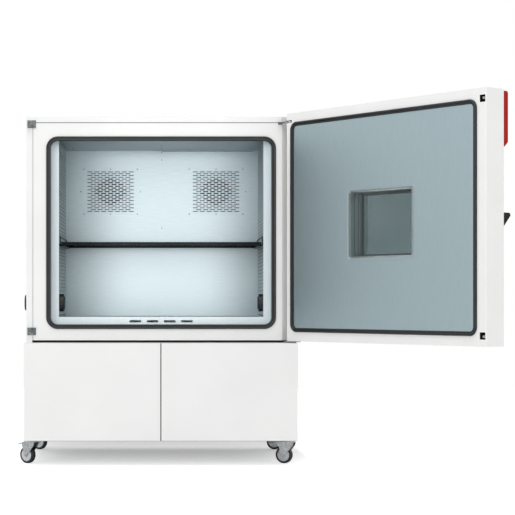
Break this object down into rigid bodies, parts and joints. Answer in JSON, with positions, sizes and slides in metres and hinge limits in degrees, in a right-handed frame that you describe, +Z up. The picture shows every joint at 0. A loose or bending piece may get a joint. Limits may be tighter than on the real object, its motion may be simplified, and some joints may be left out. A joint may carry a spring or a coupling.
{
  "type": "environmental test chamber",
  "caption": "Floor standing climate test cabinet on casters, stainless chamber with shelf and fans, insulated windowed door standing open, machine housing below.",
  "frame": {"origin": "on the floor, at the centre of the footprint with the door standing open", "axes": "+X to the right seen from the front, +Y from the chamber's open front to its rear, +Z up"},
  "size_m": [2.6624, 2.2422, 2.035],
  "materials": {
    "white_enamel": "satin",
    "stainless_sheet": "satin",
    "galvanised_steel": "satin",
    "fan_aluminium": "satin",
    "coil_aluminium": "matte",
    "motor_enamel": "satin",
    "seal_rubber": "matte",
    "rigid_foam": "matte",
    "port_plastic": "satin",
    "plug_rubber": "satin",
    "window_glass": "gloss",
    "display_cover": "gloss",
    "red_housing": "satin",
    "black_plastic": "satin",
    "bearing_bronze": "satin",
    "caster_steel": "satin",
    "caster_tyre": "matte"
  },
  "bodies": {
    "cabinet": {"casing_side_left": "white_enamel", "casing_side_right": "white_enamel", "casing_lid": "white_enamel", "casing_back": "white_enamel", "casing_floor": "galvanised_steel", "front_frame": "white_enamel", "cabinet_seal": "seal_rubber", "insulation": "rigid_foam", "chamber_liner": "stainless_sheet", "air_collar": "stainless_sheet", "chamber_floor": "stainless_sheet", "side_baffle_left": "stainless_sheet", "side_baffle_right": "stainless_sheet", "rear_wall": "stainless_sheet", "fan_grilles": "stainless_sheet", "fan_inlet_rings": "stainless_sheet", "fan_motors": "motor_enamel", "evaporator_and_heater": "coil_aluminium", "shelf_rails": "stainless_sheet", "port_sleeves": "port_plastic", "strikers": "galvanised_steel", "hinge_brackets": "galvanised_steel", "base_frame": "galvanised_steel", "lower_hood": "white_enamel", "service_panel_left": "white_enamel", "service_panel_right": "white_enamel", "lower_rear_panel": "white_enamel", "refrigeration_set": "motor_enamel", "control_box": "white_enamel", "caster_plates": "galvanised_steel"},
    "door": {"door_shell": "white_enamel", "door_liner": "stainless_sheet", "door_core": "rigid_foam", "door_seal": "seal_rubber", "window_panes": "window_glass", "window_spacers": "stainless_sheet", "instrument_panel": "red_housing", "display": "display_cover", "handle_bracket": "black_plastic", "hinge_arms": "galvanised_steel", "hinge_bushes": "bearing_bronze"},
    "handle": {"handle_lever": "black_plastic"},
    "latch_top": {"latch_rod_top": "galvanised_steel"},
    "latch_bottom": {"latch_rod_bottom": "galvanised_steel"},
    "switch": {"power_switch": "black_plastic"},
    "shelf_rack": {"shelf": "stainless_sheet"},
    "fan_left": {"fan_impeller_left": "fan_aluminium"},
    "fan_right": {"fan_impeller_right": "fan_aluminium"},
    "plug_left": {"port_plug_left": "plug_rubber"},
    "plug_right": {"port_plug_right": "plug_rubber"},
    "swivel_front_left": {"caster_fork_front_left": "caster_steel"},
    "wheel_front_left": {"caster_wheel_front_left": "caster_tyre"},
    "pedal_front_left": {"brake_pedal_front_left": "caster_steel"},
    "swivel_front_right": {"caster_fork_front_right": "caster_steel"},
    "wheel_front_right": {"caster_wheel_front_right": "caster_tyre"},
    "pedal_front_right": {"brake_pedal_front_right": "caster_steel"},
    "swivel_rear_left": {"caster_fork_rear_left": "caster_steel"},
    "wheel_rear_left": {"caster_wheel_rear_left": "caster_tyre"},
    "swivel_rear_right": {"caster_fork_rear_right": "caster_steel"},
    "wheel_rear_right": {"caster_wheel_rear_right": "caster_tyre"}
  },
  "joints": [
    {"name": "door_hinge", "type": "hinge", "parent": "cabinet", "child": "door", "pos_m": [0.25544, 0.07808, 1.376], "axis": [0, 0, 1], "range_deg": [-128, 17]},
    {"name": "handle_pivot", "type": "hinge", "parent": "door", "child": "handle", "pos_m": [1.25002, -0.96996, 1.395], "axis": [0.6157, -0.788, 0], "range_deg": [0, 40.5]},
    {"name": "latch_top_slide", "type": "slide", "parent": "door", "child": "latch_top", "axis": [0, 0, 1], "range_m": [0, 0.012], "stiffness_N_per_m": 600},
    {"name": "latch_bottom_slide", "type": "slide", "parent": "door", "child": "latch_bottom", "axis": [0, 0, -1], "range_m": [0, 0.0125], "stiffness_N_per_m": 600},
    {"name": "power_switch_press", "type": "slide", "parent": "door", "child": "switch", "axis": [-0.788, -0.6157, 0], "range_m": [0, 0.004], "stiffness_N_per_m": 300},
    {"name": "shelf_slide", "type": "slide", "parent": "cabinet", "child": "shelf_rack", "axis": [0, -1, 0], "range_m": [0, 0.35]},
    {"name": "fan_left_spin", "type": "hinge", "parent": "cabinet", "child": "fan_left", "pos_m": [-0.79506, 0.78638, 1.631], "axis": [0, 1, 0], "continuous": true},
    {"name": "fan_right_spin", "type": "hinge", "parent": "cabinet", "child": "fan_right", "pos_m": [-0.13706, 0.78638, 1.631], "axis": [0, 1, 0], "continuous": true},
    {"name": "plug_left_pull", "type": "slide", "parent": "cabinet", "child": "plug_left", "axis": [-1, 0, 0], "range_m": [0, 0.25]},
    {"name": "plug_right_pull", "type": "slide", "parent": "cabinet", "child": "plug_right", "axis": [1, 0, 0], "range_m": [0, 0.25]},
    {"name": "swivel_front_left_turn", "type": "hinge", "parent": "cabinet", "child": "swivel_front_left", "pos_m": [-1.22706, 0.13008, 0.1277], "axis": [0, 0, 1], "continuous": true},
    {"name": "wheel_front_left_roll", "type": "hinge", "parent": "swivel_front_left", "child": "wheel_front_left", "pos_m": [-1.25538, 0.15066, 0.05], "axis": [-0.5878, -0.809, 0], "continuous": true},
    {"name": "pedal_front_left_press", "type": "hinge", "parent": "swivel_front_left", "child": "pedal_front_left", "pos_m": [-1.27156, 0.16241, 0.1172], "axis": [-0.5878, -0.809, 0], "range_deg": [0, 15]},
    {"name": "swivel_front_right_turn", "type": "hinge", "parent": "cabinet", "child": "swivel_front_right", "pos_m": [0.27694, 0.13008, 0.1277], "axis": [0, 0, 1], "continuous": true},
    {"name": "wheel_front_right_roll", "type": "hinge", "parent": "swivel_front_right", "child": "wheel_front_right", "pos_m": [0.24521, 0.14488, 0.05], "axis": [-0.4226, -0.9063, 0], "continuous": true},
    {"name": "pedal_front_right_press", "type": "hinge", "parent": "swivel_front_right", "child": "pedal_front_right", "pos_m": [0.22709, 0.15333, 0.1172], "axis": [-0.4226, -0.9063, 0], "range_deg": [0, 15]},
    {"name": "swivel_rear_left_turn", "type": "hinge", "parent": "cabinet", "child": "swivel_rear_left", "pos_m": [-1.22706, 1.01008, 0.1277], "axis": [0, 0, 1], "continuous": true},
    {"name": "wheel_rear_left_roll", "type": "hinge", "parent": "swivel_rear_left", "child": "wheel_rear_left", "pos_m": [-1.25737, 1.02758, 0.05], "axis": [-0.5, -0.866, 0], "continuous": true},
    {"name": "swivel_rear_right_turn", "type": "hinge", "parent": "cabinet", "child": "swivel_rear_right", "pos_m": [0.27694, 1.01008, 0.1277], "axis": [0, 0, 1], "continuous": true},
    {"name": "wheel_rear_right_roll", "type": "hinge", "parent": "swivel_rear_right", "child": "wheel_rear_right", "pos_m": [0.24405, 1.02205, 0.05], "axis": [-0.342, -0.9397, 0], "continuous": true}
  ],
  "couplings": [
    {"joint": "handle_pivot", "follows": "latch_top_slide", "rad_per_m": 58.178},
    {"joint": "latch_bottom_slide", "follows": "latch_top_slide", "ratio": 1}
  ]
}
